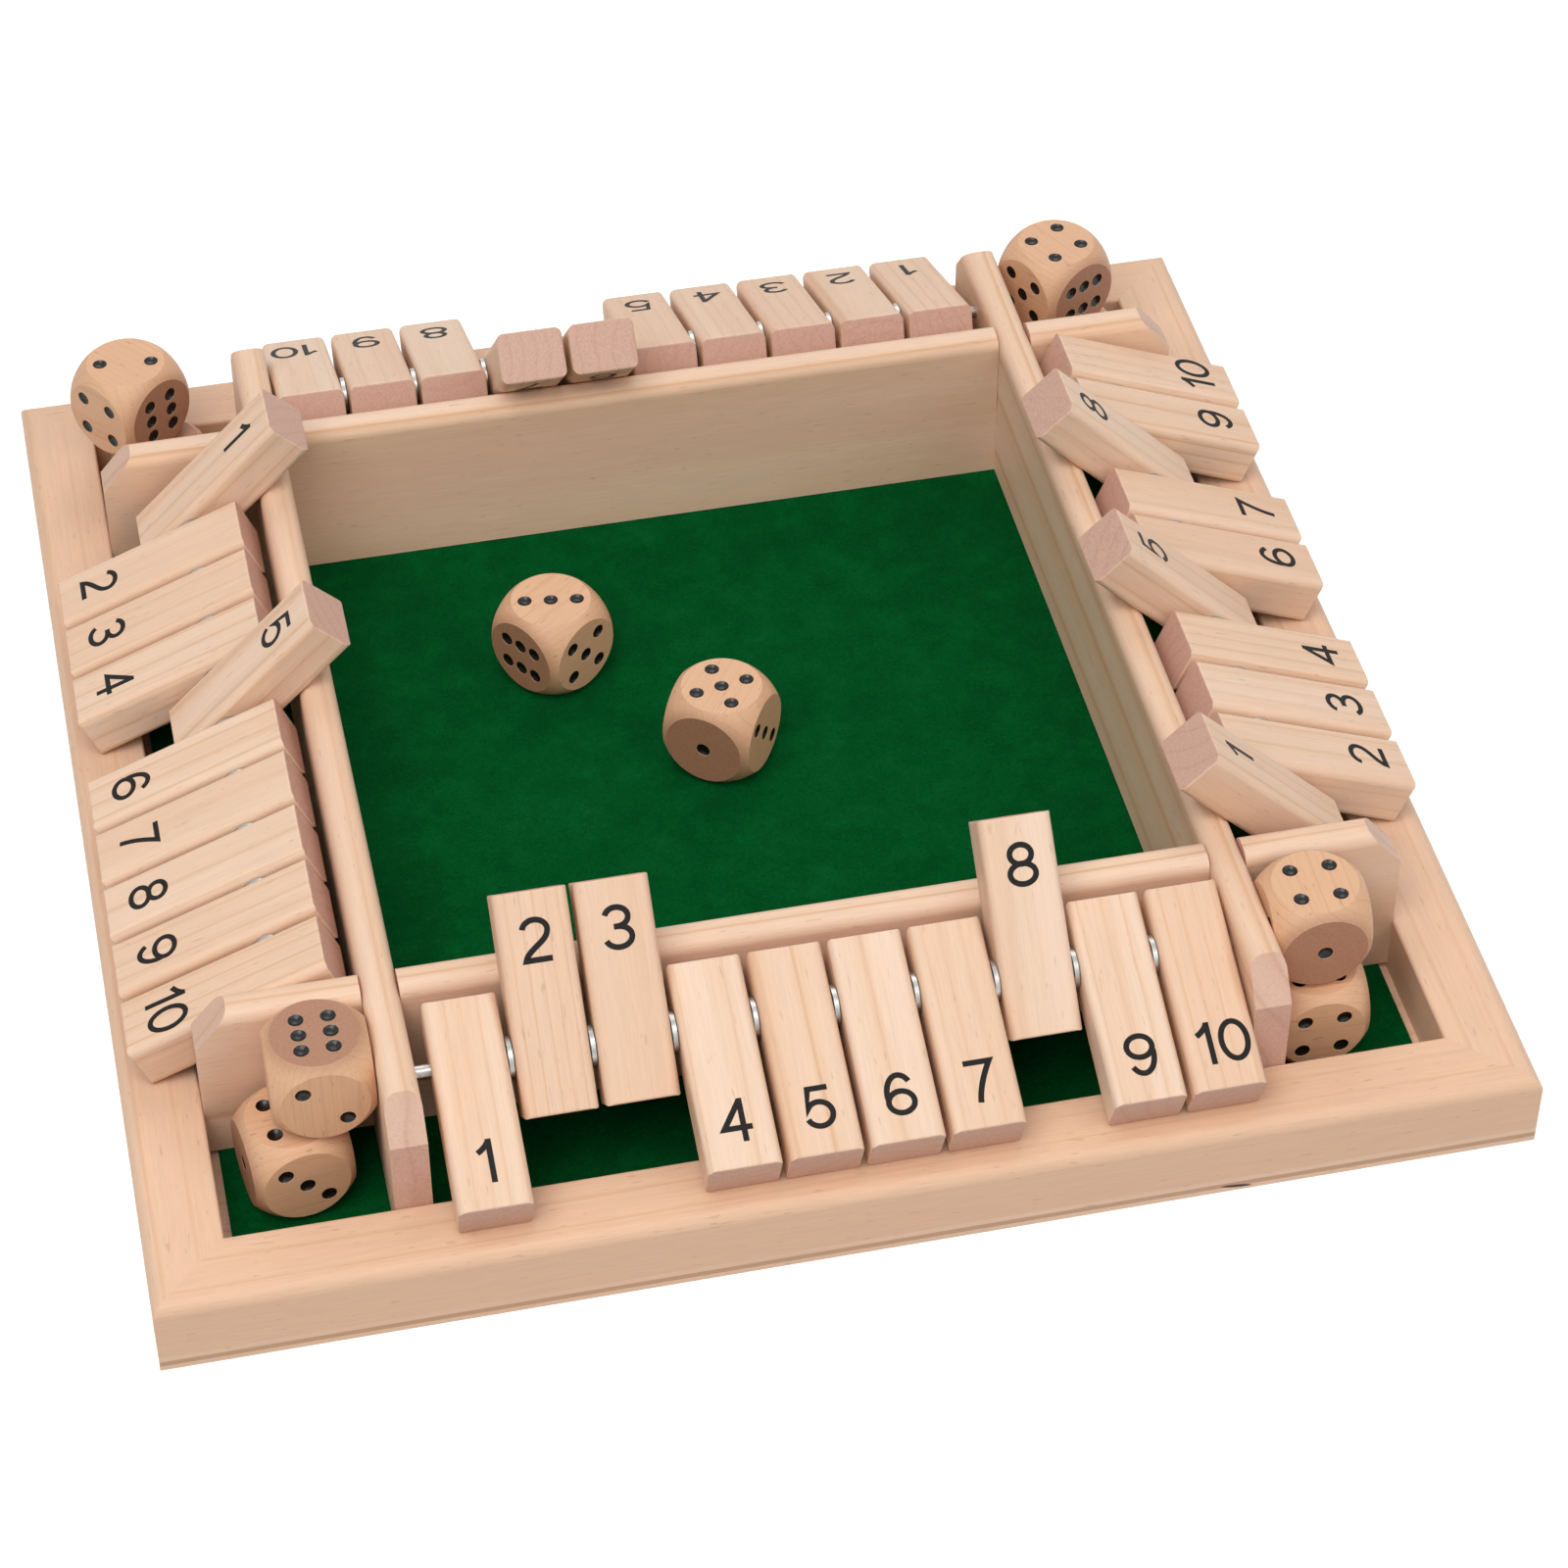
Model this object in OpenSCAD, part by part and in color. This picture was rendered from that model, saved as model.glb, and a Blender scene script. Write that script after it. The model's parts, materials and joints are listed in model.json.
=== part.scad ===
// Shut the box for four players: a square pine tray board, ten tiles in a row
// along each side, felt in the middle, and dice kept in the corner pockets.
// The origin is the middle of the board's underside. +Z is up, +X is right,
// and the row of the player in front lies towards -Y.

/* [Board] */
// Thickness of the base board
base_t = 4; // [3:0.5:9]
// Height of the rails above the base board
rail_h = 15; // [10:0.5:18]
// Radius along the rails' outer top edge
rail_round = 3; // [1:0.5:4]
// Radius along the rails' inner top edge
rail_inner_round = 0.8; // [0.4:0.2:1.5]
// Flat left on the rail outside the line where the lowered tiles rest
rest_lip = 4.71; // [2:0.01:8]
// Thickness of the felt
felt_t = 1.5; // [1:0.25:3]
// Bare strip of base board between the felt and the rails
felt_inset = 2; // [0.5:0.5:5]

/* [Inner walls] */
// Thickness of the inner walls
wall_t = 8; // [6:0.5:12]
// Height of the inner walls above the felt
wall_h = 41; // [36:0.5:46]
// Radius along the inner walls' top edges
wall_round = 3; // [1:0.5:3]
// Length of the sloped cut at each end of an inner wall
wall_cut_l = 7.5; // [4:0.5:15]
// Depth of the sloped cut at each end of an inner wall
wall_cut_h = 9; // [5:0.5:15]
// Gap round the halving joints of the inner walls
lap_gap = 0.1; // [0.05:0.05:0.3]

/* [Tiles] */
// Tiles in each row
tiles_per_row = 10; // [8:1:10]
// Width of a tile
tile_w = 16; // [14:0.5:18]
// Thickness of a tile
tile_t = 12.4; // [10:0.2:14]
// Length from the rod to the tile's plain end
tile_tail = 13; // [10:0.5:16]
// Length from the rod to the tile's numbered end
tile_reach = 34.4; // [30:0.2:38]
// Radius along the tile's long edges
tile_round = 2; // [1:0.5:3]
// Radius round the tile's ends
tile_end_round = 0.5; // [0.25:0.25:2]
// Gap where a tile comes to rest on a rail or a wall
rest_gap = 0.1; // [0.05:0.05:0.3]
// Raised tiles in the front row
raised_front = [2, 3, 8]; // [1:1:10]
// Raised tiles in the right row
raised_right = [1, 5, 8]; // [1:1:10]
// Raised tiles in the back row
raised_back = [6, 7]; // [1:1:10]
// Raised tiles in the left row
raised_left = [1, 5]; // [1:1:10]

/* [Pivots] */
// Diameter of the pivot rods
rod_d = 3.2; // [2.4:0.2:4]
// Depth of the rods below the inner walls' tops
rod_drop = 8.9; // [8:0.1:12]
// Length of each rod end that is let into a wall
rod_seat = 5; // [3:0.5:5]
// Gap between a rod and its hole in a wall
rod_seat_gap = 0.05; // [0.02:0.01:0.1]
// Gap between a rod and the bore of a tile
rod_gap = 0.08; // [0.03:0.01:0.1]
// Outer diameter of the washers between the tiles
washer_d = 9.5; // [8:0.5:14]
// Thickness of a washer
washer_t = 1; // [0.6:0.1:1.5]
// Gap between a rod and the hole of a washer
washer_bore_gap = 0.1; // [0.05:0.05:0.3]
// Gap between a washer and the tile on each side
washer_gap = 0.25; // [0.1:0.05:0.5]
// Spare length at each end of a row
row_slack = 2.25; // [1.8:0.05:4]
// Shift of each row towards its player's right
row_slide = 1.4; // [0:0.1:1.6]
// Least gap between a turning tile and the inner wall
wall_swing_gap = 1.6; // [1:0.1:5]
// Least gap between a turning tile and the rail
rail_swing_gap = 5.6; // [3:0.1:8]

/* [Dice] */
// Size of a die
die_size = 22; // [16:0.5:23]
// Diameter of the flat circle on each face of a die
die_face_d = 19; // [14:0.5:20]
// Diameter of a pip
pip_d = 3.5; // [2.5:0.1:4]
// Depth of a pip
pip_depth = 0.8; // [0.4:0.1:1.2]
// Distance from the middle of a face to its outer pips, along each side
pip_step = 4.4; // [3.8:0.05:4.6]
// Distance from the middle of the six to its two lines of pips
pip_line_step = 3.4; // [2.8:0.05:4.2]

/* [Hidden] */
$fn = 48;

// Length that a cutter reaches past the face it opens
past = 1;

// Heights
rail_top = base_t + rail_h;
felt_top = base_t + felt_t;
wall_top = felt_top + wall_h;
rod_z = wall_top - rod_drop;

// One row: tiles, with a washer between each two
tile_step = tile_w + washer_t + 2 * washer_gap;
row_l = tiles_per_row * tile_w + (tiles_per_row - 1) * (washer_t + 2 * washer_gap);
tile_l = tile_tail + tile_reach;

// Radius of the circle that a tile's plain end sweeps
swing_r = norm([tile_tail, tile_t / 2]);

// Half sizes, from the middle of the board outwards
tray_half = row_l / 2 + row_slack;
wall_mid = tray_half + wall_t / 2;
pocket_in = tray_half + wall_t;
rod_out = pocket_in + wall_swing_gap + swing_r;
rail_in = rod_out + swing_r + rail_swing_gap;

// Middle of the round on the tile's numbered end, from the rod
tip_y = tile_reach - tile_end_round;
tip_z = tile_t / 2 - tile_end_round;

// Slope of a lowered tile: the round of its end rests on the rail
lowered_drop = rod_z - rail_top - rest_gap - tile_end_round;
lowered_tilt = asin(lowered_drop / norm([tip_y, tip_z])) - atan2(tip_z, tip_y);
rest_out = tip_y * cos(lowered_tilt) - tip_z * sin(lowered_tilt);

// Slope of a raised tile: its flat side rests on the round of the wall
wall_edge_in = rod_out - (pocket_in - wall_round);
wall_edge_up = wall_top - wall_round - rod_z;
raised_tilt = atan2(wall_edge_up, wall_edge_in)
    + asin((tile_t / 2 + wall_round + rest_gap) / norm([wall_edge_in, wall_edge_up]));

// The rails are wide enough for the lowered tiles to rest on their flat tops
rail_w = rod_out + rest_out - rail_in + rest_lip + rail_round;
board_half = rail_in + rail_w;

// Dice are cubes inside a ball
die_ball_d = norm([die_size, die_face_d]);
// Ball that a pip is a cap of
pip_ball_r = (pow(pip_d / 2, 2) + pow(pip_depth, 2)) / (2 * pip_depth);

SIDES = ["front", "right", "back", "left"];
RAISED = [raised_front, raised_right, raised_back, raised_left];

// Each die: name, pocket as signs of x and y (0 for the tray), storey, place,
// yaw, and quarter turns from the pose with 1 on top and 2 in front. The place is
// the die's distance from the two inner walls of its pocket, or from the middle of
// the tray, as a share of the room that it has there.
DICE = [
    ["tray_back", [0, 0], 0, [-0.444, 0.528], 36.9, [0, 270, 180]],
    ["tray_middle", [0, 0], 0, [0.007, 0.016], -35.25, [90, 0, 0]],
    ["front_left_lower", [-1, -1], 0, [0.544, 0.045], 8.5, [90, 0, 270]],
    ["front_left_upper", [-1, -1], 1, [0.021, 0.014], 0, [180, 0, 180]],
    ["front_right_lower", [1, -1], 0, [0.037, 0.399], -0.5, [90, 0, 90]],
    ["front_right_upper", [1, -1], 1, [0.01, 0.144], -0.7, [0, 90, 270]],
    ["back_left_lower", [-1, 1], 0, [0.699, 0.725], 8, [0, 0, 90]],
    ["back_left_upper", [-1, 1], 1, [1.653, 1.624], 39, [270, 0, 0]],
    ["back_right_lower", [1, 1], 0, [0.5, 0.835], -6.7, [90, 0, 180]],
    ["back_right_upper", [1, 1], 1, [0.082, 1.324], 28, [0, 90, 90]]
];

// Pips of each value, in steps from the middle of the face. The six has two lines of
// three, which stand closer than the corners of the other values.
PIPS = [
    [[0, 0]],
    [[-1, 1], [1, -1]],
    [[-1, -1], [0, 0], [1, 1]],
    [[-1, -1], [-1, 1], [1, -1], [1, 1]],
    [[-1, -1], [-1, 1], [0, 0], [1, -1], [1, 1]],
    [[-1, -1], [-1, 0], [-1, 1], [1, -1], [1, 0], [1, 1]]
];

// Turn that brings the top of a die round to the face of each value
PIP_TURNS = [[0, 0, 0], [90, 0, 0], [90, 0, 90], [90, 0, 270], [90, 0, 180], [180, 0, 0]];

function tile_name(side, n) = str("tile_", SIDES[side], "_", n);
function die_name(d) = str("die_", d[0]);
function is_raised(side, n) = len(search(n, RAISED[side])) > 0;
function tile_x(n) = (n - (tiles_per_row + 1) / 2) * tile_step + row_slide;

// Half the width of a die across X or Y when it is turned by a yaw
function die_reach(yaw) = let (c = abs(cos(yaw)), s = abs(sin(yaw)))
    (die_size * max(c, s) + die_face_d * min(c, s)) / 2;
// How far a die can shift, from the inner walls to the rails or from the middle of the tray
function die_room(d) = d[1][0] == 0
    ? tray_half - die_reach(d[4])
    : rail_in - pocket_in - 2 * die_reach(d[4]);
function die_spot(d) = [for (i = [0, 1]) d[1][i] == 0
    ? d[3][i] * die_room(d)
    : d[1][i] * (pocket_in + die_reach(d[4]) + d[3][i] * die_room(d))];
function die_z(d) = felt_top + die_size * (d[2] + 0.5);

// Rectangle with four round corners, middle at the origin
module round_rect(w, h, r) {
    square([w - 2 * r, h], center = true);
    square([w, h - 2 * r], center = true);
    for (x = [-1, 1], y = [-1, 1]) translate([x * (w / 2 - r), y * (h / 2 - r)]) circle(r);
}

// What a round of radius r takes off the corner at the origin of the first quadrant
module corner_cut(r) difference() {
    translate([-past, -past]) square(r + past);
    translate([r, r]) circle(r);
}

// Turns a shape modelled for the front row to the row on another side
module at_side(side) rotate([0, 0, 90 * side]) children();

// Rail along X with mitred ends, its outer bottom edge along Y = 0
module rail() intersection() {
    rotate([90, 0, 90]) linear_extrude(2 * board_half, center = true) difference() {
        square([rail_w, rail_h]);
        translate([0, rail_h]) mirror([0, 1]) corner_cut(rail_round);
        translate([rail_w, rail_h]) rotate(180) corner_cut(rail_inner_round);
    }
    linear_extrude(rail_h) polygon([
        [-board_half, 0], [board_half, 0],
        [board_half - rail_w, rail_w], [rail_w - board_half, rail_w]
    ]);
}

module rail_at(side) at_side(side) translate([0, -board_half, base_t]) rail();

module base_board() color("burlywood")
    translate([-board_half, -board_half, 0]) cube([2 * board_half, 2 * board_half, base_t]);

module felt_sheet() color("darkgreen") {
    felt_half = rail_in - felt_inset;
    translate([-felt_half, -felt_half, base_t]) cube([2 * felt_half, 2 * felt_half, felt_t]);
}

module rails_front_back() color("wheat") for (side = [0, 2]) rail_at(side);

module rails_left_right() color("wheat") for (side = [1, 3]) rail_at(side);

// Upright section of an inner wall, standing on the X axis
module wall_section() difference() {
    translate([-wall_t / 2, 0]) square([wall_t, wall_h]);
    for (m = [0, 1]) mirror([m, 0])
        translate([wall_t / 2, wall_h]) rotate(180) corner_cut(wall_round);
}

// Blank of an inner wall along X: sloped ends, and a hole for a rod near each end,
// in the face towards +Y
module wall_blank() difference() {
    rotate([90, 0, 90]) linear_extrude(2 * rail_in, center = true) wall_section();
    for (m = [0, 1]) mirror([m, 0, 0]) translate([rail_in, 0, wall_h])
        rotate([90, 0, 0]) linear_extrude(wall_t + 2 * past, center = true) polygon([
            [-wall_cut_l, past], [-wall_cut_l, 0], [0, -wall_cut_h],
            [past, -wall_cut_h], [past, past]
        ]);
    for (m = [0, 1]) mirror([m, 0, 0])
        translate([rod_out, wall_t / 2 - rod_seat - rest_gap, rod_z - felt_top]) rotate([-90, 0, 0])
            cylinder(r = rod_d / 2 + rod_seat_gap, h = rod_seat + rest_gap + past);
}

// Slots of the halving joints, in the half of the wall that starts at z
module lap_slots(z) for (m = [0, 1]) mirror([m, 0, 0])
    translate([wall_mid - wall_t / 2 - lap_gap, -wall_t / 2 - past, z])
        cube([wall_t + 2 * lap_gap, wall_t + 2 * past, wall_h / 2 + past + lap_gap]);

module wall_at(side) at_side(side) translate([0, -wall_mid, felt_top]) children();

// The front and back walls are slotted from above
module wall_slotted_above() difference() {
    wall_blank();
    lap_slots(wall_h / 2 - lap_gap);
}

// The left and right walls are slotted from below, and lie across the others
module wall_slotted_below() difference() {
    wall_blank();
    lap_slots(-past);
}

module wall_front() color("wheat") wall_at(0) wall_slotted_above();

module wall_back() color("wheat") wall_at(2) wall_slotted_above();

module wall_left() color("navajowhite") wall_at(3) wall_slotted_below();

module wall_right() color("navajowhite") wall_at(1) wall_slotted_below();

module rod_line(side) at_side(side) translate([0, -rod_out, rod_z]) rotate([0, 90, 0]) children();

module pivot_rods() color("silver") for (side = [0:3]) rod_line(side)
    cylinder(d = rod_d, h = 2 * (tray_half + rod_seat), center = true);

module washer() difference() {
    cylinder(d = washer_d, h = washer_t, center = true);
    cylinder(r = rod_d / 2 + washer_bore_gap, h = washer_t + 2 * past, center = true);
}

module spacer_washers() color("gainsboro")
    for (side = [0:3], n = [1:tiles_per_row - 1]) rod_line(side)
        translate([0, 0, tile_x(n) + tile_step / 2]) washer();

// Tile with its rod along X through the origin and its numbered end towards +Y
module tile_block() difference() {
    translate([0, (tile_reach - tile_tail) / 2, 0]) intersection() {
        rotate([90, 0, 0]) linear_extrude(tile_l, center = true)
            round_rect(tile_w, tile_t, tile_round);
        rotate([90, 0, 90]) linear_extrude(tile_w, center = true)
            round_rect(tile_l, tile_t, tile_end_round);
        linear_extrude(tile_t, center = true)
            round_rect(tile_w, tile_l, tile_end_round);
    }
    rotate([0, 90, 0]) cylinder(r = rod_d / 2 + rod_gap, h = tile_w + 2 * past, center = true);
}

module tile(side, n) color("bisque") at_side(side)
    translate([tile_x(n), -rod_out, rod_z])
        rotate([is_raised(side, n) ? raised_tilt : 180 + lowered_tilt, 0, 0]) tile_block();

// Pips of one value, drilled into the top of a die
module pip_drill(value) {
    across = value == 6 ? pip_line_step : pip_step;
    for (p = PIPS[value - 1])
        translate([p[0] * across, p[1] * pip_step, die_size / 2 - pip_depth + pip_ball_r])
            sphere(pip_ball_r);
}

// Die with its middle at the origin, 1 on top, 2 in front and 3 on the right
module die_block() difference() {
    intersection() {
        cube(die_size, center = true);
        sphere(d = die_ball_d);
    }
    for (value = [1:6]) rotate(PIP_TURNS[value - 1]) pip_drill(value);
}

module die(d) color("peru") translate(concat(die_spot(d), die_z(d)))
    rotate([0, 0, d[4]]) rotate(d[5]) die_block();

base_board();
felt_sheet();
rails_front_back();
rails_left_right();
wall_front();
wall_back();
wall_left();
wall_right();
pivot_rods();
spacer_washers();
for (side = [0:3], n = [1:tiles_per_row])
    tile(side, n);
for (d = DICE) die(d);
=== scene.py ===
"""Looks of a four player shut the box: pine board and tiles, printed numbers, green felt and wooden dice."""

import json
import math
import random

import bmesh
import bpy
from mathutils import Matrix, Vector


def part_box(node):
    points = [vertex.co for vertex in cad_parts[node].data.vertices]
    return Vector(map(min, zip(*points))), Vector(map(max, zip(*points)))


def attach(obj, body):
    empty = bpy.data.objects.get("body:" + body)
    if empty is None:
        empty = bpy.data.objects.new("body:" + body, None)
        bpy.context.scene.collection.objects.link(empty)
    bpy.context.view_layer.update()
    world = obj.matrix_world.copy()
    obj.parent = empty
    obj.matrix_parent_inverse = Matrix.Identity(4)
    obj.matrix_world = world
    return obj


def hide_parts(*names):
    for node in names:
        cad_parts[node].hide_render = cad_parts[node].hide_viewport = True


bl_info = {
    "name": "Shut the Box",
    "version": (1, 0, 0),
    "blender": (4, 5, 0),
    "location": "View3D > Sidebar > Shut the Box",
    "description": "Finishes a four player shut the box in pine, felt and steel",
    "category": "Object",
}

MM = 0.001
SIDES = ("front", "right", "back", "left")
TILES = 10

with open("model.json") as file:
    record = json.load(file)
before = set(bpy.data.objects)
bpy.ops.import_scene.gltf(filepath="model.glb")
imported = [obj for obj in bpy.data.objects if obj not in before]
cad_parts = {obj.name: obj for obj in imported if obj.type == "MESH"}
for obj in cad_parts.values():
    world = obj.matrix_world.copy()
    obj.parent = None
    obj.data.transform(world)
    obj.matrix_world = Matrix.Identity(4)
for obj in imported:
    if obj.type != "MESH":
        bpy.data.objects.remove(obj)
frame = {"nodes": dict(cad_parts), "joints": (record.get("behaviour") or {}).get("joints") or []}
NODES = frame["nodes"]
JOINTS = {joint["child"]: joint for joint in frame["joints"]}
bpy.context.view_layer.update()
FELT_LOW, FELT_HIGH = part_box("felt_sheet")


def linear(hex_colour):
    """sRGB hex text to a linear RGBA tuple."""
    parts = [int(hex_colour[i : i + 2], 16) / 255 for i in (0, 2, 4)]
    return tuple(v / 12.92 if v <= 0.04045 else ((v + 0.055) / 1.055) ** 2.4 for v in parts) + (1.0,)


def add_node(tree, kind, settings=None, **links):
    """Adds a node, sets its properties, and sets or links its inputs.

    An input goes by its name, with _ for a space, or by its number, as i0.
    """
    node = tree.nodes.new(kind)
    for key, value in (settings or {}).items():
        if key == "ramp":
            elements = node.color_ramp.elements
            while len(elements) < len(value):
                elements.new(0.5)
            for element, (position, colour) in zip(elements, value):
                element.position, element.color = position, colour
        else:
            setattr(node, key, value)
    for key, value in links.items():
        numbered = key[0] == "i" and key[1:].isdigit()
        socket = node.inputs[int(key[1:]) if numbered else key.replace("_", " ")]
        if isinstance(value, bpy.types.NodeSocket):
            tree.links.new(value, socket)
        else:
            socket.default_value = value
    return node


def new_material(name):
    """An empty node material and its surface shader."""
    material = bpy.data.materials.new(name)
    material.use_nodes = True
    tree = material.node_tree
    shader = tree.nodes["Principled BSDF"]
    return material, tree, shader


def mix_colour(tree, factor, first, second, blend="MIX"):
    """Output of a colour mix; first and second are colours or sockets."""
    kind = {"data_type": "RGBA", "blend_type": blend}
    node = add_node(tree, "ShaderNodeMix", kind, i0=factor, i6=first, i7=second)
    return node.outputs[2]


def maths(tree, operation, first, second=0.0, clamp=False):
    """Output of a maths node."""
    node = add_node(tree, "ShaderNodeMath", {"operation": operation, "use_clamp": clamp}, i0=first, i1=second)
    return node.outputs[0]


def step_up(tree, value, low, high):
    """0 below low, 1 above high, smooth between."""
    node = add_node(
        tree, "ShaderNodeMapRange", {"interpolation_type": "SMOOTHSTEP"},
        Value=value, From_Min=low, From_Max=high,
    )
    return node.outputs[0]


def grain_place(along, up, middle, shift):
    """Euler turn and shift in mm that bring a board's own grain onto Y, with its face up."""
    y = Vector(along).normalized()
    z = Vector(up).normalized()
    x = y.cross(z)
    turn = Matrix((x, y, z))
    place = -(turn @ Vector(middle)) / MM + Vector(shift)
    return turn.to_euler("XYZ"), place, y


def wood(name, along, up, middle, seed, looks, ring, pith, flecks=0.2, lean=None, streak=None, plies=False):
    """Sawn wood, sanded and clear lacquered: growth rings round a far pith, fibres and resin flecks.

    The rings show as long soft bands on the faces and as arcs on the end grain.
    """
    draw = random.Random(seed)
    angle = draw.uniform(0, 2 * math.pi)
    far = pith * draw.uniform(0.7, 1.5)
    shift = (far * math.cos(angle), draw.uniform(-900, 900), far * math.sin(angle))
    turn, place, grain = grain_place(along, up, middle, shift)
    material, tree, shader = new_material(name)
    coords = add_node(tree, "ShaderNodeTexCoord")
    here = add_node(
        tree, "ShaderNodeMapping", {},
        Vector=coords.outputs["Object"], Location=place, Rotation=turn, Scale=(1 / MM, 1 / MM, 1 / MM),
    ).outputs[0]
    stretched = add_node(
        tree, "ShaderNodeVectorMath", {"operation": "MULTIPLY"}, i0=here, i1=(1.0, 0.045, 1.0)
    ).outputs[0]
    # One growth ring: pale early wood that darkens slowly to a thin line of late wood.
    rings = add_node(
        tree, "ShaderNodeTexWave", {"wave_type": "RINGS", "rings_direction": "Y", "wave_profile": "SAW"},
        Vector=stretched, Scale=0.314 / (ring * draw.uniform(0.75, 1.35)),
        Distortion=4.0, Detail=2.0, Detail_Scale=0.9, Detail_Roughness=0.5,
    ).outputs["Fac"]
    light, mid, dark, end, tint = (Vector(colour) for colour in looks)
    # Boards lean from pale to peach, and some show their rings far less than others.
    lean = draw.uniform(0.0, 0.6) if lean is None else lean
    streak = draw.uniform(0.25, 0.75) if streak is None else streak
    light = light.lerp(tint, lean)
    ring_colour = add_node(
        tree, "ShaderNodeValToRGB",
        {"ramp": [(0.0, mid), (0.12, light), (0.5, light), (0.8, mid), (0.93, dark), (1.0, mid)]}, Fac=rings,
    ).outputs[0]
    ring_colour = mix_colour(tree, streak, light, ring_colour)
    # Cloudy shift of hue along the board, a few centimetres long.
    cloud = add_node(
        tree, "ShaderNodeTexNoise", {}, Vector=stretched, Scale=0.11, Detail=2.0, Roughness=0.5
    ).outputs["Fac"]
    cloud = step_up(tree, cloud, 0.35, 0.7)
    colour = mix_colour(tree, maths(tree, "MULTIPLY", cloud, 0.55), ring_colour, tint)
    # Fibres half a millimetre wide, which catch the light.
    fibre = add_node(
        tree, "ShaderNodeTexNoise", {}, Vector=stretched, Scale=1.9, Detail=3.0, Roughness=0.65
    ).outputs["Fac"]
    fibre_light = add_node(
        tree, "ShaderNodeMapRange", {}, Value=fibre, From_Min=0.25, From_Max=0.75, To_Min=0.93, To_Max=1.05
    ).outputs[0]
    colour = mix_colour(tree, 1.0, colour, fibre_light, "MULTIPLY")
    # Resin flecks: short dashes a third of a millimetre wide.
    dash_place = add_node(
        tree, "ShaderNodeVectorMath", {"operation": "MULTIPLY"}, i0=here, i1=(1.0, 0.16, 1.0)
    ).outputs[0]
    dash = add_node(
        tree, "ShaderNodeTexNoise", {}, Vector=dash_place, Scale=1.35, Detail=1.0, Roughness=0.4
    ).outputs["Fac"]
    dash = maths(tree, "MULTIPLY", step_up(tree, dash, 0.70, 0.76), flecks)
    colour = mix_colour(tree, dash, colour, linear("8A5A36"))
    # End grain is darker and rosier, and pitted by the cut fibres.
    facing = add_node(
        tree, "ShaderNodeVectorMath", {"operation": "DOT_PRODUCT"}, i0=coords.outputs["Normal"], i1=grain
    ).outputs["Value"]
    cut = step_up(tree, maths(tree, "ABSOLUTE", facing), 0.55, 0.9)
    pits = add_node(
        tree, "ShaderNodeTexNoise", {}, Vector=here, Scale=1.6, Detail=3.0, Roughness=0.7
    ).outputs["Fac"]
    pit_light = add_node(
        tree, "ShaderNodeMapRange", {}, Value=pits, From_Min=0.3, From_Max=0.7, To_Min=0.86, To_Max=1.08
    ).outputs[0]
    end_colour = mix_colour(tree, 0.5, end, mix_colour(tree, 1.0, ring_colour, end, "MULTIPLY"))
    end_colour = mix_colour(tree, 1.0, end_colour, pit_light, "MULTIPLY")
    colour = mix_colour(tree, cut, colour, end_colour)
    if plies:
        # Three plies: the middle one shows its end grain as a brown line along the edge.
        height = add_node(tree, "ShaderNodeSeparateXYZ", {}, Vector=coords.outputs["Object"]).outputs[2]
        core = maths(
            tree, "MULTIPLY",
            step_up(tree, height, 1.25 * MM, 1.35 * MM),
            maths(tree, "SUBTRACT", 1.0, step_up(tree, height, 2.55 * MM, 2.65 * MM)),
        )
        colour = mix_colour(tree, maths(tree, "MULTIPLY", core, 0.6), colour, linear("A8784E"))
        # Painted shade of a gap in the bottom ply of the front edge, 8 mm long: the gap is not modelled, and
        # a dark patch is painted where its inside would lie in shade.
        gap_shade_place = add_node(
            tree, "ShaderNodeMapping", {"vector_type": "TEXTURE"},
            Vector=coords.outputs["Object"], Location=(82.4 * MM, -150 * MM, 1.3 * MM),
            Rotation=(0, math.radians(7), 0), Scale=(4 * MM, 4 * MM, 0.5 * MM),
        ).outputs[0]
        away = add_node(tree, "ShaderNodeVectorMath", {"operation": "LENGTH"}, i0=gap_shade_place).outputs["Value"]
        outside = step_up(tree, away, 0.7, 1.0)
        # The painted shade of the gap: nearly black inside the patch.
        colour = mix_colour(tree, maths(tree, "SUBTRACT", 1.0, outside), colour, linear("2A1B12"))
    tree.links.new(colour, shader.inputs["Base Color"])
    rough = add_node(
        tree, "ShaderNodeMapRange", {}, Value=fibre, From_Min=0.2, From_Max=0.8, To_Min=0.42, To_Max=0.6
    ).outputs[0]
    tree.links.new(rough, shader.inputs["Roughness"])
    relief = maths(tree, "ADD", maths(tree, "MULTIPLY", fibre, 0.7), maths(tree, "MULTIPLY", rings, -0.25))
    relief = maths(tree, "ADD", relief, maths(tree, "MULTIPLY", maths(tree, "MULTIPLY", pits, cut), 1.2))
    bump = add_node(
        tree, "ShaderNodeBump", {}, Height=relief, Strength=0.35, Distance=0.12 * MM
    ).outputs[0]
    tree.links.new(bump, shader.inputs["Normal"])
    shader.inputs["IOR"].default_value = 1.5
    shader.inputs["Specular IOR Level"].default_value = 0.4
    return material


def colour_setting(name, hex_colour, description):
    """A colour swatch for the panel, given as sRGB hex."""
    return bpy.props.FloatVectorProperty(
        name=name, subtype="COLOR", size=4, min=0, max=1, default=linear(hex_colour), description=description)


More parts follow.
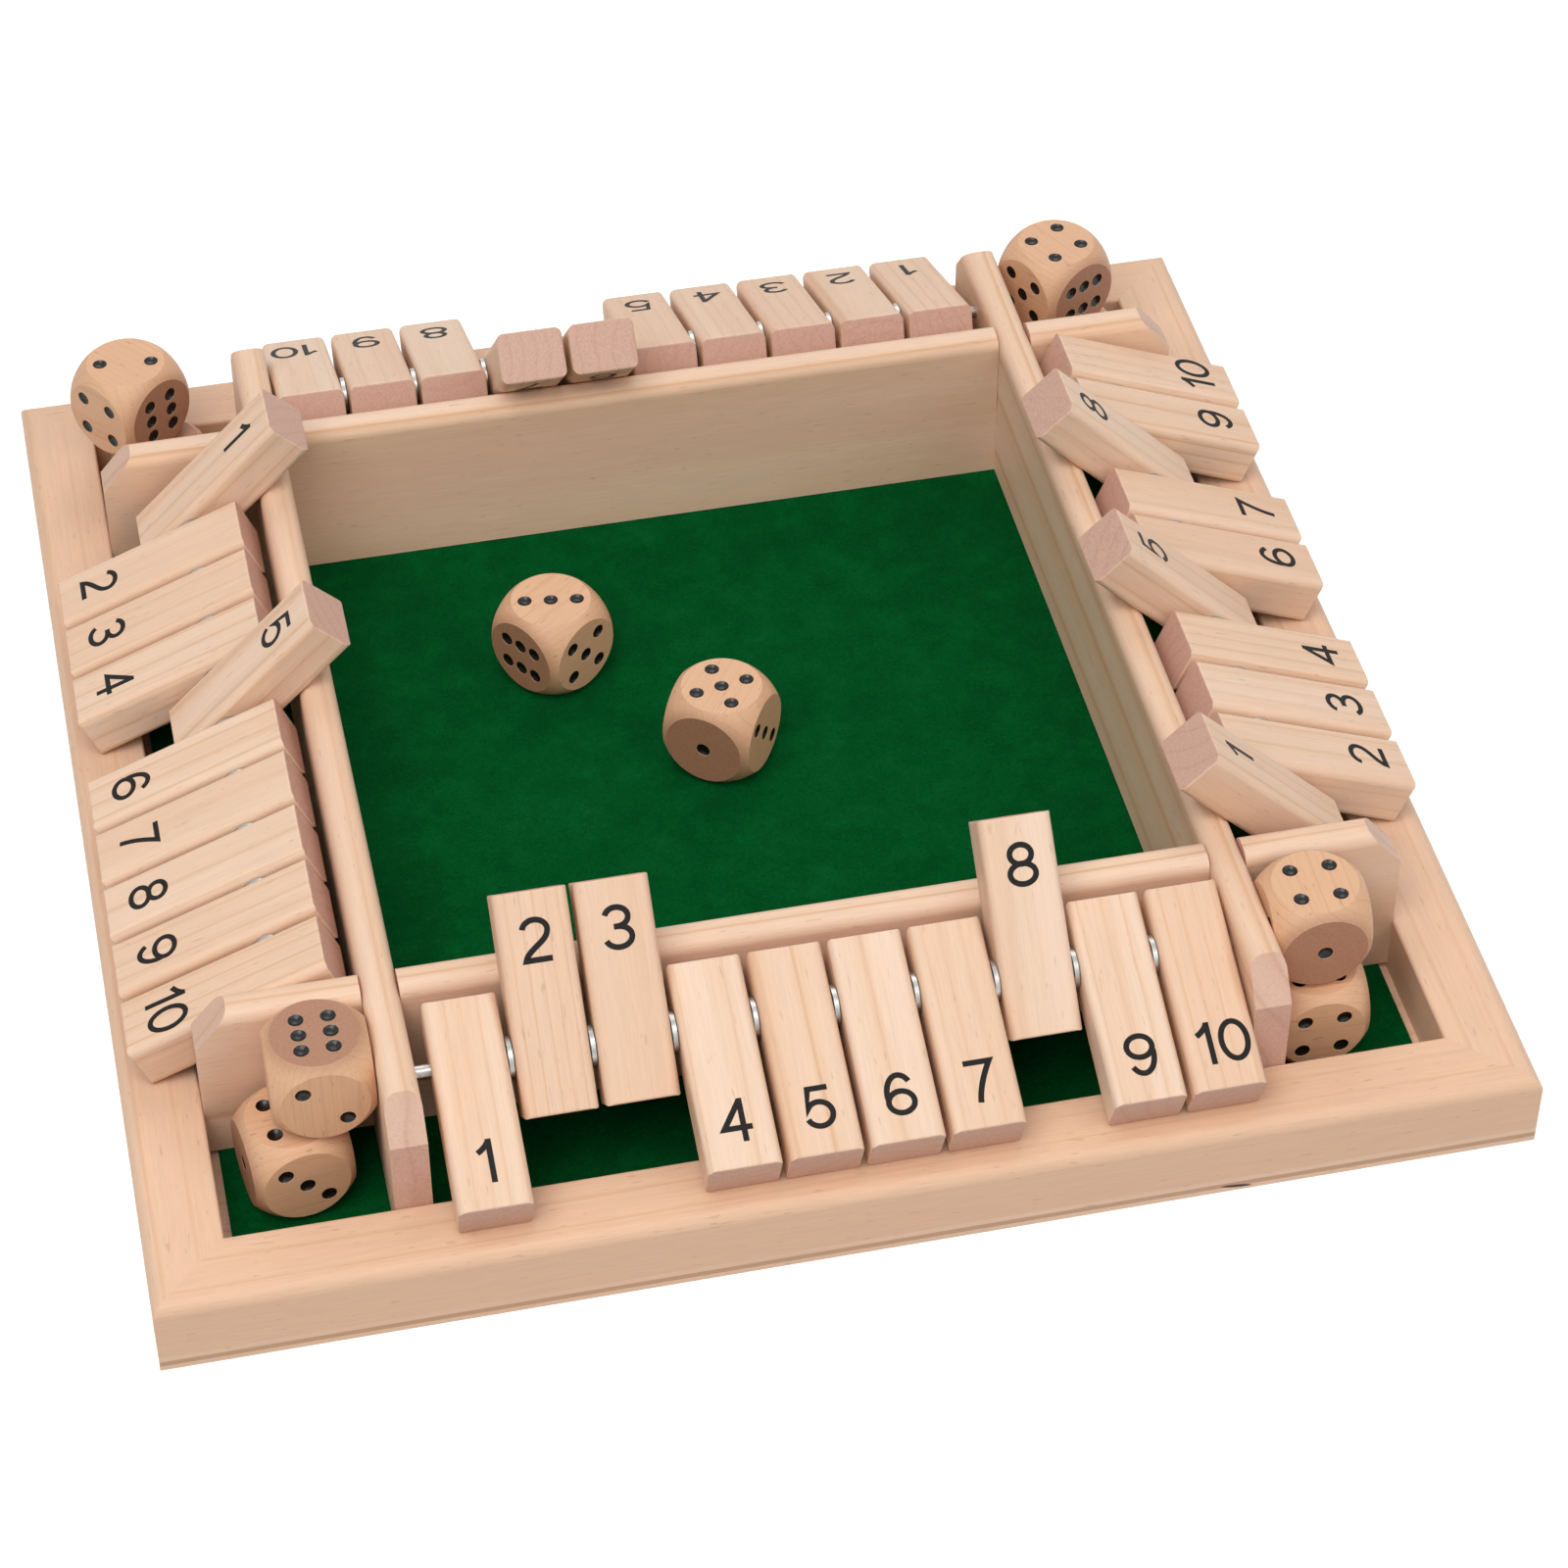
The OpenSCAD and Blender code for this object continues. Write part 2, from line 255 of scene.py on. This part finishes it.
class ShutBoxWoodSettings(bpy.types.PropertyGroup):
    """Colours of the pine and of the dice"""

    pine_light: colour_setting("Pine, early wood", "EFD2B9", "Colour of the pale wood between the rings")
    pine_mid: colour_setting("Pine, middle", "E8C3A2", "Colour of the wood towards a ring")
    pine_dark: colour_setting("Pine, late wood", "D2A27C", "Colour of the dark line of a ring")
    pine_end: colour_setting("Pine, end grain", "DABAAE", "Colour of the sawn ends")
    pine_tint: colour_setting("Pine, rosy", "E5BC9D", "Colour of the rosy clouds in the wood")
    ring: bpy.props.FloatProperty(
        name="Ring width", default=3.6 * MM, min=1 * MM, max=10 * MM, unit="LENGTH",
        description="Width of one growth ring")
    dice_light: colour_setting("Dice, early wood", "DFB08A", "Colour of the dice between the rings")
    dice_dark: colour_setting("Dice, late wood", "C8926A", "Colour of the dark lines of the dice")


class ShutBoxPrintSettings(bpy.types.PropertyGroup):
    """Size of the printed numbers, and the black of numbers and pips"""

    height: bpy.props.FloatProperty(
        name="Height", default=9.7 * MM, unit="LENGTH", description="Height of a printed number")
    width: bpy.props.FloatProperty(
        name="Width", default=6.9 * MM, unit="LENGTH", description="Width of a printed digit")
    stroke: bpy.props.FloatProperty(
        name="Stroke", default=1.25 * MM, unit="LENGTH", description="Width of the printed line")
    from_end: bpy.props.FloatProperty(
        name="From the end", default=10.5 * MM, unit="LENGTH",
        description="From the numbered end of a tile to the middle of its number")
    film: bpy.props.FloatProperty(
        name="Film", default=0.03 * MM, unit="LENGTH", description="Height of the ink above the wood")
    ink: colour_setting("Ink", "0F0C0B", "Colour of the numbers")
    pip_paint: colour_setting("Pip paint", "0B0A0A", "Colour of the pips")


class ShutBoxFeltSettings(bpy.types.PropertyGroup):
    """Colours and surface of the felt"""

    dark: colour_setting("Felt, dark", "02471E", "sRGB hex between the fibres")
    light: colour_setting("Felt, light", "06602C", "Colour of the raised fibres")
    nap: bpy.props.FloatProperty(
        name="Nap", default=0.22 * MM, unit="LENGTH",
        description="How far the felt's upper surface lies below the CAD sheet's")


class ShutBoxViewSettings(bpy.types.PropertyGroup):
    """Where the camera stands and what it looks at"""

    target: bpy.props.FloatVectorProperty(
        name="Looks at", default=(13.78 * MM, -6.27 * MM, 0), subtype="TRANSLATION",
        description="Point the camera looks at")
    azimuth: bpy.props.FloatProperty(
        name="Azimuth", default=math.radians(-12.26), unit="ROTATION", description="Turn round the board")
    elevation: bpy.props.FloatProperty(
        name="Elevation", default=math.radians(44.07), unit="ROTATION",
        description="Height above the horizon")
    distance: bpy.props.FloatProperty(
        name="Distance", default=1.03493, unit="LENGTH",
        description="From the camera to the point it looks at")
    lens: bpy.props.FloatProperty(
        name="Lens", default=100.48, unit="CAMERA", description="Focal length in mm on a 36 mm sensor")


def settings(group):
    """The scene's own values for one group of settings."""
    return getattr(bpy.context.scene, group)


def pine_looks():
    """The five pine colours, in the order that wood() takes them."""
    s = settings("shut_box_wood")
    return tuple(tuple(c) for c in (s.pine_light, s.pine_mid, s.pine_dark, s.pine_end, s.pine_tint))


def finish_node(name, material):
    """Gives a CAD node its one material."""
    slots = NODES[name].data.materials
    slots.clear()
    slots.append(material)


def add_piece(name, mesh_or_bmesh, material, body):
    """Links a finished mesh as a piece that rides on a body."""
    if isinstance(mesh_or_bmesh, bmesh.types.BMesh):
        mesh = bpy.data.meshes.new(name)
        mesh_or_bmesh.to_mesh(mesh)
        mesh_or_bmesh.free()
    else:
        mesh = mesh_or_bmesh
    piece = bpy.data.objects.new(name, mesh)
    bpy.context.scene.collection.objects.link(piece)
    mesh.materials.append(material)
    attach(piece, body)
    return piece


def tile_place(side, number):
    """Matrix of a tile: rod at the origin along X, numbered end towards Y."""
    name = f"tile_{SIDES[side]}_{number}"
    pivot = Vector(JOINTS[name]["pos_m"])
    low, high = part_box(name)
    across = Matrix.Rotation(side * math.pi / 2, 3, "Z") @ Vector((1, 0, 0))
    reach = (Vector(low) + Vector(high)) / 2 - pivot
    reach = (reach - reach.dot(across) * across).normalized()
    up = across.cross(reach)
    return Matrix.Translation(pivot) @ Matrix((across, reach, up)).transposed().to_4x4()


class SHUTBOX_OT_board(bpy.types.Operator):
    """Finish the base board, the rails and the inner walls in clear lacquered pine"""

    bl_idname = "shut_box.board"
    bl_label = "Board and walls"

    def execute(self, context):
        looks = pine_looks()
        ring = settings("shut_box_wood").ring / MM
        up = (0, 0, 1)
        rows = (
            ("rails_front_back", (1, 0, 0), 31, 70.0, 1.5, 1.0, 0.45),
            ("rails_left_right", (0, 1, 0), 32, 60.0, 1.6, 0.85, 0.4),
            ("wall_front", (1, 0, 0), 33, 28.0, 1.5, 0.3, 0.8),
            ("wall_back", (1, 0, 0), 34, 22.0, 1.7, 0.3, 1.0),
            ("wall_left", (0, 1, 0), 35, 24.0, 1.5, 0.3, 0.7),
            ("wall_right", (0, 1, 0), 36, 26.0, 1.6, 0.3, 0.8),
        )
        for name, along, seed, pith, width, lean, streak in rows:
            material = wood(
                f"pine_{name}", along, up, (0, 0, 20 * MM), seed, looks, ring * width, pith,
                lean=lean, streak=streak)
            finish_node(name, material)
        plywood = wood("birch_plywood", (1, 0, 0), up, (0, 0, 0), 37, looks, ring * 2, 60.0, plies=True)
        finish_node("base_board", plywood)
        return {"FINISHED"}


class SHUTBOX_OT_tiles(bpy.types.Operator):
    """Finish the forty number tiles, each sawn from its own length of pine"""

    bl_idname = "shut_box.tiles"
    bl_label = "Tiles"

    def execute(self, context):
        light, mid, dark, end, tint = pine_looks()
        ring = settings("shut_box_wood").ring / MM
        for side in range(4):
            for number in range(1, TILES + 1):
                place = tile_place(side, number)
                along, up = place.col[1].to_3d(), place.col[2].to_3d()
                seed = 100 * side + number
                material = wood(
                    f"pine_tile_{SIDES[side]}_{number}", along, up, place.translation, seed,
                    (light, mid, dark, end, tint), ring, 22.0,
                )
                finish_node(f"tile_{SIDES[side]}_{number}", material)
        return {"FINISHED"}


def arc(cx, cy, rx, ry, start, stop, steps=20):
    """Points of an elliptic arc, angles in degrees."""
    points = []
    for i in range(steps + 1):
        a = math.radians(start + (stop - start) * i / steps)
        points.append(Vector((cx + rx * math.cos(a), cy + ry * math.sin(a))))
    return points


def curve(first, second, third, fourth, steps=10):
    """Points of a Bezier curve."""
    points = []
    for i in range(steps + 1):
        t = i / steps
        s = 1 - t
        start = Vector(first) * s**3 + Vector(second) * 3 * s * s * t
        points.append(start + Vector(third) * 3 * s * t * t + Vector(fourth) * t**3)
    return points


def digit_strokes(digit):
    """Middle lines of a plain printed digit, on a box 1 high and 1 wide, and whether each closes."""
    v = Vector
    ring = lambda cx, cy, rx, ry: (arc(cx, cy, rx, ry, 0, 360, 40)[:-1], True)
    six = [
        ring(0.01, -0.215, 0.49, 0.285),
        (arc(0.02, -0.02, 0.5, 0.52, 190, 38, 26), False),
    ]
    table = {
        "0": [ring(0, 0, 0.5, 0.5)],
        "1": [
            ([v((0.12, -0.57)), v((0.12, 0.57))], False),
            (curve((-0.34, 0.23), (-0.14, 0.30), (0.06, 0.42), (0.12, 0.53), 6), False),
        ],
        "2": [
            (arc(0.0, 0.245, 0.47, 0.255, 172, -22, 22)[:-1]
             + curve((0.44, 0.15), (0.36, -0.08), (-0.38, -0.24), (-0.47, -0.5), 12)
             + [v((0.52, -0.5))], False)],
        "3": [
            (arc(-0.02, 0.26, 0.44, 0.24, 165, -90, 22), False),
            (arc(-0.02, -0.24, 0.5, 0.26, 90, -165, 24), False),
            ([v((-0.16, 0.02)), v((0.05, 0.02))], False),
        ],
        "4": [
            ([v((0.22, -0.57)), v((0.22, 0.57))], False),
            ([v((0.20, 0.5)), v((-0.52, -0.2)), v((0.55, -0.2))], False),
        ],
        "5": [
            ([v((0.46, 0.5)), v((-0.3, 0.5)), v((-0.41, -0.03))]
             + arc(0.0, -0.18, 0.5, 0.32, 142, -160, 24)[1:], False)],
        "6": six,
        "7": [
            ([v((-0.54, 0.5)), v((0.47, 0.5))]
             + curve((0.47, 0.5), (0.2, 0.2), (-0.1, -0.2), (-0.16, -0.57), 10)[1:], False)],
        "8": [ring(0, 0.255, 0.42, 0.245), ring(0, -0.24, 0.5, 0.26)],
        "9": [([-p for p in points], closed) for points, closed in six],
    }
    return table[digit]


def lay_stroke(points, closed, width, film):
    """A flat printed line of even width with square ends, as a closed thin mesh."""
    clean = [points[0]]
    for p in points[1:]:
        if (p - clean[-1]).length > 1e-6:
            clean.append(p)
    count = len(clean)
    bm = bmesh.new()
    left, right = [], []
    for i, p in enumerate(clean):
        before = clean[i - 1] if i or closed else None
        after = clean[(i + 1) % count] if i < count - 1 or closed else None
        ahead = (after - p).normalized() if after is not None else (p - before).normalized()
        behind = (p - before).normalized() if before is not None else ahead
        run = (ahead + behind).normalized()
        spread = width / 2 / max(run.dot(ahead), 0.35)
        side = Vector((-run.y, run.x)) * spread
        left.append(bm.verts.new((p.x + side.x, p.y + side.y, 0)))
        right.append(bm.verts.new((p.x - side.x, p.y - side.y, 0)))
    last = count if closed else count - 1
    for i in range(last):
        j = (i + 1) % count
        bm.faces.new((left[i], right[i], right[j], left[j]))
    bmesh.ops.recalc_face_normals(bm, faces=bm.faces)
    lift = bmesh.ops.extrude_face_region(bm, geom=bm.faces[:])
    raised = [g for g in lift["geom"] if isinstance(g, bmesh.types.BMVert)]
    bmesh.ops.translate(bm, vec=(0, 0, film), verts=raised)
    bmesh.ops.recalc_face_normals(bm, faces=bm.faces)
    return bm


def printed_text(text, s):
    """Mesh of a number, middle at the origin, its strokes joined into one outline."""
    scratch = []
    middle = (len(text) - 1) / 2
    # The figure one is narrow, so a ten is set closer than two full widths.
    gap = 0.87 * s.width
    for place, digit in enumerate(text):
        shift = (place - middle) * gap
        for points, closed in digit_strokes(digit):
            line = [
                Vector((p.x * (s.width - s.stroke) + shift, p.y * (s.height - s.stroke))) for p in points
            ]
            bm = lay_stroke(line, closed, s.stroke, 4 * s.film)
            mesh = bpy.data.meshes.new("stroke")
            bm.to_mesh(mesh)
            bm.free()
            scratch.append(bpy.data.objects.new("stroke", mesh))
            bpy.context.scene.collection.objects.link(scratch[-1])
    first = scratch[0]
    for other in scratch[1:]:
        joined = first.modifiers.new("join", "BOOLEAN")
        joined.operation, joined.solver, joined.object = "UNION", "EXACT", other
    graph = bpy.context.evaluated_depsgraph_get()
    mesh = bpy.data.meshes.new_from_object(first.evaluated_get(graph))
    for item in scratch:
        bpy.data.objects.remove(item)
    return mesh


class SHUTBOX_OT_numbers(bpy.types.Operator):
    """Print each tile's number on both of its broad faces"""

    bl_idname = "shut_box.numbers"
    bl_label = "Numbers"

    def execute(self, context):
        s = settings("shut_box_print")
        ink = self.ink(s)
        outlines = {number: printed_text(str(number), s) for number in range(1, TILES + 1)}
        for side in range(4):
            for number in range(1, TILES + 1):
                place = tile_place(side, number)
                name = f"tile_{SIDES[side]}_{number}"
                inverse = place.inverted()
                corners = [inverse @ v.co for v in NODES[name].data.vertices]
                end = max(c.y for c in corners)
                half = max(c.z for c in corners)
                bm = bmesh.new()
                for face in (1, -1):
                    # Read with the rod below when the tile is raised, and above when it is lowered.
                    turn = Matrix.Rotation(math.pi if face < 0 else 0, 4, "X")
                    spot = Matrix.Translation((0, end - s.from_end, face * (half - 3 * s.film)))
                    copy = outlines[number].copy()
                    copy.transform(place @ spot @ turn)
                    bm.from_mesh(copy)
                    bpy.data.meshes.remove(copy)
                add_piece(f"number_{SIDES[side]}_{number}", bm, ink, name)
        for outline in outlines.values():
            bpy.data.meshes.remove(outline)
        return {"FINISHED"}

    def ink(self, s):
        """Screen printed ink: nearly black, dull, with thin spots where the wood shows through."""
        material, tree, shader = new_material("screen_print_ink")
        coords = add_node(tree, "ShaderNodeTexCoord")
        thin = add_node(
            tree, "ShaderNodeTexNoise", {}, Vector=coords.outputs["Object"], Scale=900.0, Detail=2.0
        ).outputs["Fac"]
        worn = maths(tree, "MULTIPLY", step_up(tree, thin, 0.6, 0.85), 0.15)
        tree.links.new(mix_colour(tree, worn, tuple(s.ink), linear("6B5647")), shader.inputs["Base Color"])
        rough = maths(tree, "ADD", maths(tree, "MULTIPLY", thin, 0.2), 0.45)
        tree.links.new(rough, shader.inputs["Roughness"])
        shader.inputs["Specular IOR Level"].default_value = 0.2
        return material


class SHUTBOX_OT_dice(bpy.types.Operator):
    """Finish the ten hardwood dice and paint their pips"""

    bl_idname = "shut_box.dice"
    bl_label = "Dice"

    def execute(self, context):
        s = settings("shut_box_wood")
        light, dark = tuple(s.dice_light), tuple(s.dice_dark)
        looks = (light, light, dark, linear("B8927A"), linear("DDAF8A"))
        # The grain of each die runs through one pair of faces: X, Y or Z before the die is turned.
        grains = {
            "die_tray_back": "X", "die_tray_middle": "Y",
            "die_front_left_lower": "X", "die_front_left_upper": "Z",
            "die_front_right_lower": "X", "die_front_right_upper": "Y",
            "die_back_left_lower": "Z", "die_back_left_upper": "Y",
            "die_back_right_lower": "Y", "die_back_right_upper": "Y",
        }
        for seed, (name, grain) in enumerate(grains.items()):
            middle, half, yaw = self.die_place(name)
            turn = Matrix.Rotation(yaw, 3, "Z")
            along = turn @ Vector([float(letter == grain) for letter in "XYZ"])
            up = turn @ Vector((0, 1, 0)) if grain == "Z" else Vector((0, 0, 1))
            material = wood(
                f"hardwood_{name}", along, up, middle, 500 + seed, looks, 1.6, 30.0,
                flecks=0.35, lean=0.4, streak=0.45)
            self.paint_pips(material, middle, half, yaw)
            finish_node(name, material)
        return {"FINISHED"}

    def die_place(self, name):
        """Middle and half size of a die, and its turn about Z, from its flat upright faces."""
        low, high = (Vector(corner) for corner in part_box(name))
        middle, half = (low + high) / 2, (high.z - low.z) / 2
        for face in NODES[name].data.polygons:
            away = (face.center - middle).dot(face.normal)
            if abs(face.normal.z) < 0.01 and abs(away - half) < 0.02 * MM:
                angle = math.atan2(face.normal.y, face.normal.x)
                quarter = math.pi / 2
                return middle, half, (angle + quarter / 2) % quarter - quarter / 2
        return middle, half, 0.0

    def paint_pips(self, material, middle, half, yaw):
        """Glossy black paint in the hollows: below the flat faces and well inside the rounded corners."""
        s = settings("shut_box_print")
        tree = material.node_tree
        shader = tree.nodes["Principled BSDF"]
        coords = add_node(tree, "ShaderNodeTexCoord").outputs["Object"]
        own = add_node(
            tree, "ShaderNodeMapping", {"vector_type": "TEXTURE"},
            Vector=coords, Location=middle, Rotation=(0, 0, yaw), Scale=(half, half, half),
        ).outputs[0]
        reach = add_node(tree, "ShaderNodeVectorMath", {"operation": "LENGTH"}, i0=own).outputs["Value"]
        spread = add_node(tree, "ShaderNodeVectorMath", {"operation": "ABSOLUTE"}, i0=own).outputs[0]
        parts = add_node(tree, "ShaderNodeSeparateXYZ", {}, Vector=spread).outputs
        most = maths(tree, "MAXIMUM", maths(tree, "MAXIMUM", parts[0], parts[1]), parts[2])
        # In half sizes: the corners are rounded at 1.32 and no pip reaches past 1.25.
        pip_reach = 1.28
        rim_low, rim_high = 0.990, 0.997
        below = maths(tree, "SUBTRACT", 1.0, step_up(tree, most, rim_low, rim_high))
        inside = maths(tree, "LESS_THAN", reach, pip_reach)
        paint = maths(tree, "MULTIPLY", below, inside)
        for socket, value in (("Base Color", tuple(s.pip_paint)), ("Roughness", (0.22, 0.22, 0.22, 1.0))):
            was = shader.inputs[socket].links[0].from_socket
            tree.links.new(mix_colour(tree, paint, was, value), shader.inputs[socket])


class SHUTBOX_OT_felt(bpy.types.Operator):
    """Lay the green felt"""

    bl_idname = "shut_box.felt"
    bl_label = "Felt"

    def execute(self, context):
        s = settings("shut_box_felt")
        low, high = Vector(FELT_LOW), Vector(FELT_HIGH)
        size = high - low
        bm = bmesh.new()
        cells = 150
        bmesh.ops.create_grid(bm, x_segments=cells, y_segments=cells, size=0.5)
        bmesh.ops.scale(bm, vec=(size.x, size.y, 1), verts=bm.verts)
        bmesh.ops.translate(bm, vec=(0, 0, high.z - s.nap), verts=bm.verts)
        skirt = bmesh.ops.extrude_edge_only(bm, edges=[e for e in bm.edges if e.is_boundary])
        dropped = [g for g in skirt["geom"] if isinstance(g, bmesh.types.BMVert)]
        for v in dropped:
            v.co.z = low.z
        bmesh.ops.contextual_create(bm, geom=[e for e in bm.edges if e.is_boundary])
        bmesh.ops.recalc_face_normals(bm, faces=bm.faces)
        felt = add_piece("felt", bm, self.cloth(s), "board")
        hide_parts("felt_sheet")
        return {"FINISHED"}

    def cloth(self, s):
        """Pressed wool felt: matted short fibres, quite dull."""
        material, tree, shader = new_material("wool_felt")
        coords = add_node(tree, "ShaderNodeTexCoord").outputs["Object"]
        # Fibres a quarter of a millimetre wide, drawn coarser than real ones so that they show.
        mat = add_node(
            tree, "ShaderNodeTexNoise", {},
            Vector=coords, Scale=1500.0, Detail=4.0, Roughness=0.7, Distortion=1.5,
        ).outputs["Fac"]
        cloud = add_node(
            tree, "ShaderNodeTexNoise", {}, Vector=coords, Scale=120.0, Detail=3.0, Roughness=0.6
        ).outputs["Fac"]
        blend = maths(tree, "ADD", maths(tree, "MULTIPLY", mat, 0.7), maths(tree, "MULTIPLY", cloud, 0.3))
        blend = step_up(tree, blend, 0.35, 0.65)
        tree.links.new(mix_colour(tree, blend, tuple(s.dark), tuple(s.light)), shader.inputs["Base Color"])
        bump = add_node(tree, "ShaderNodeBump", {}, Height=blend, Strength=0.7, Distance=0.3 * MM).outputs[0]
        tree.links.new(bump, shader.inputs["Normal"])
        shader.inputs["Roughness"].default_value = 0.95
        shader.inputs["Specular IOR Level"].default_value = 0.02
        return material


class SHUTBOX_OT_metal(bpy.types.Operator):
    """Finish the pivot rods and the washers in bright steel"""

    bl_idname = "shut_box.metal"
    bl_label = "Rods and washers"

    def execute(self, context):
        finish_node("pivot_rods", self.steel("drawn_steel", "B9B7B2", 0.28))
        finish_node("spacer_washers", self.steel("zinc_plated_steel", "BDBCB8", 0.3))
        return {"FINISHED"}

    def steel(self, name, colour, roughness):
        """Bright steel with fine drawing marks and a cloudy plating."""
        material, tree, shader = new_material(name)
        coords = add_node(tree, "ShaderNodeTexCoord").outputs["Object"]
        marks = add_node(
            tree, "ShaderNodeTexNoise", {}, Vector=coords, Scale=2200.0, Detail=2.0
        ).outputs["Fac"]
        cloud = add_node(
            tree, "ShaderNodeTexNoise", {}, Vector=coords, Scale=300.0, Detail=2.0
        ).outputs["Fac"]
        shade = add_node(
            tree, "ShaderNodeMapRange", {}, Value=cloud, From_Min=0.3, From_Max=0.7, To_Min=0.85, To_Max=1.0
        ).outputs[0]
        tree.links.new(mix_colour(tree, 1.0, linear(colour), shade, "MULTIPLY"), shader.inputs["Base Color"])
        rough = add_node(
            tree, "ShaderNodeMapRange", {},
            Value=marks, From_Min=0.3, From_Max=0.7, To_Min=roughness - 0.06, To_Max=roughness + 0.1,
        ).outputs[0]
        tree.links.new(rough, shader.inputs["Roughness"])
        shader.inputs["Metallic"].default_value = 1.0
        return material


class SHUTBOX_OT_stage(bpy.types.Operator):
    """Set the white floor, the soft lamps and the camera"""

    bl_idname = "shut_box.stage"
    bl_label = "Stage"

    def execute(self, context):
        scene = context.scene
        scene.view_settings.view_transform = "Standard"
        self.world(scene)
        self.floor()
        self.lamps(scene)
        self.camera(scene)
        return {"FINISHED"}

    def world(self, scene):
        world = bpy.data.worlds.new("studio")
        scene.world = world
        world.use_nodes = True
        tree = world.node_tree
        sky = tree.nodes["Background"]
        sky.inputs["Color"].default_value = (1, 1, 1, 1)
        sky.inputs["Strength"].default_value = 0.26
        seen = add_node(tree, "ShaderNodeBackground", {}, Color=(1, 1, 1, 1), Strength=1.0)
        path = add_node(tree, "ShaderNodeLightPath")
        straight = maths(tree, "MAXIMUM", path.outputs["Is Camera Ray"], path.outputs["Is Glossy Ray"])
        either = add_node(
            tree, "ShaderNodeMixShader", {}, Fac=straight, i1=sky.outputs[0], i2=seen.outputs[0])
        tree.links.new(either.outputs[0], tree.nodes["World Output"].inputs["Surface"])

    def floor(self):
        bm = bmesh.new()
        bmesh.ops.create_grid(bm, x_segments=1, y_segments=1, size=4.0)
        mesh = bpy.data.meshes.new("floor")
        bm.to_mesh(mesh)
        bm.free()
        floor = bpy.data.objects.new("floor", mesh)
        floor.location.z = -0.0002
        bpy.context.scene.collection.objects.link(floor)
        material, tree, shader = new_material("white_paper")
        shader.inputs["Base Color"].default_value = (0.6, 0.6, 0.6, 1)
        shader.inputs["Roughness"].default_value = 0.9
        shader.inputs["Specular IOR Level"].default_value = 0.0
        path = add_node(tree, "ShaderNodeLightPath")
        glow = add_node(tree, "ShaderNodeEmission", {}, Color=(1, 1, 1, 1), Strength=0.7)
        both = add_node(tree, "ShaderNodeAddShader", {}, i0=shader.outputs[0], i1=glow.outputs[0])
        straight = maths(tree, "MAXIMUM", path.outputs["Is Camera Ray"], path.outputs["Is Glossy Ray"])
        either = add_node(
            tree, "ShaderNodeMixShader", {}, Fac=straight, i1=shader.outputs[0], i2=both.outputs[0])
        tree.links.new(either.outputs[0], tree.nodes["Material Output"].inputs["Surface"])
        mesh.materials.append(material)

    def lamps(self, scene):
        for name, place, size, power in (
            ("key", (-0.6, -0.75, 1.6), 1.3, 22.5),
            ("fill", (1.0, -1.0, 1.2), 1.4, 8.5),
            ("back", (0.2, 1.2, 1.4), 1.2, 7.0),
        ):
            lamp = bpy.data.lights.new(name, "AREA")
            lamp.size, lamp.energy = size, power
            holder = bpy.data.objects.new(name, lamp)
            holder.location = place
            holder.rotation_euler = (-Vector(place)).to_track_quat("-Z", "Y").to_euler()
            scene.collection.objects.link(holder)

    def camera(self, scene):
        s = settings("shut_box_view")
        a, e = s.azimuth, s.elevation
        back = Vector((math.sin(a) * math.cos(e), -math.cos(a) * math.cos(e), math.sin(e)))
        camera = bpy.data.cameras.new("camera")
        camera.sensor_width, camera.lens = 36.0, s.lens
        camera.clip_start, camera.clip_end = 0.05, 20.0
        holder = bpy.data.objects.new("camera", camera)
        holder.location = Vector(s.target) + back * s.distance
        holder.rotation_euler = (-back).to_track_quat("-Z", "Y").to_euler()
        scene.collection.objects.link(holder)
        scene.camera = holder


OPERATORS = (
    SHUTBOX_OT_stage,
    SHUTBOX_OT_board,
    SHUTBOX_OT_tiles,
    SHUTBOX_OT_numbers,
    SHUTBOX_OT_dice,
    SHUTBOX_OT_felt,
    SHUTBOX_OT_metal,
)
GROUPS = {
    "shut_box_wood": ShutBoxWoodSettings,
    "shut_box_print": ShutBoxPrintSettings,
    "shut_box_felt": ShutBoxFeltSettings,
    "shut_box_view": ShutBoxViewSettings,
}


class SHUTBOX_PT_panel(bpy.types.Panel):
    bl_idname = "SHUTBOX_PT_panel"
    bl_label = "Shut the Box"
    bl_space_type = "VIEW_3D"
    bl_region_type = "UI"
    bl_category = "Shut the Box"

    def draw(self, context):
        for name, group in GROUPS.items():
            box = self.layout.box()
            values = getattr(context.scene, name)
            for key in group.__annotations__:
                box.prop(values, key)
        for operator in OPERATORS:
            self.layout.operator(operator.bl_idname)


def register():
    for cls in (*GROUPS.values(), *OPERATORS, SHUTBOX_PT_panel):
        bpy.utils.register_class(cls)
    for name, group in GROUPS.items():
        setattr(bpy.types.Scene, name, bpy.props.PointerProperty(type=group))


def unregister():
    for name in GROUPS:
        delattr(bpy.types.Scene, name)
    for cls in (SHUTBOX_PT_panel, *reversed(OPERATORS), *GROUPS.values()):
        bpy.utils.unregister_class(cls)


def main():
    """Runs every operator."""
    register()
    for operator in OPERATORS:
        group, name = operator.bl_idname.split(".")
        getattr(getattr(bpy.ops, group), name)()


if __name__ == "__main__":
    main()
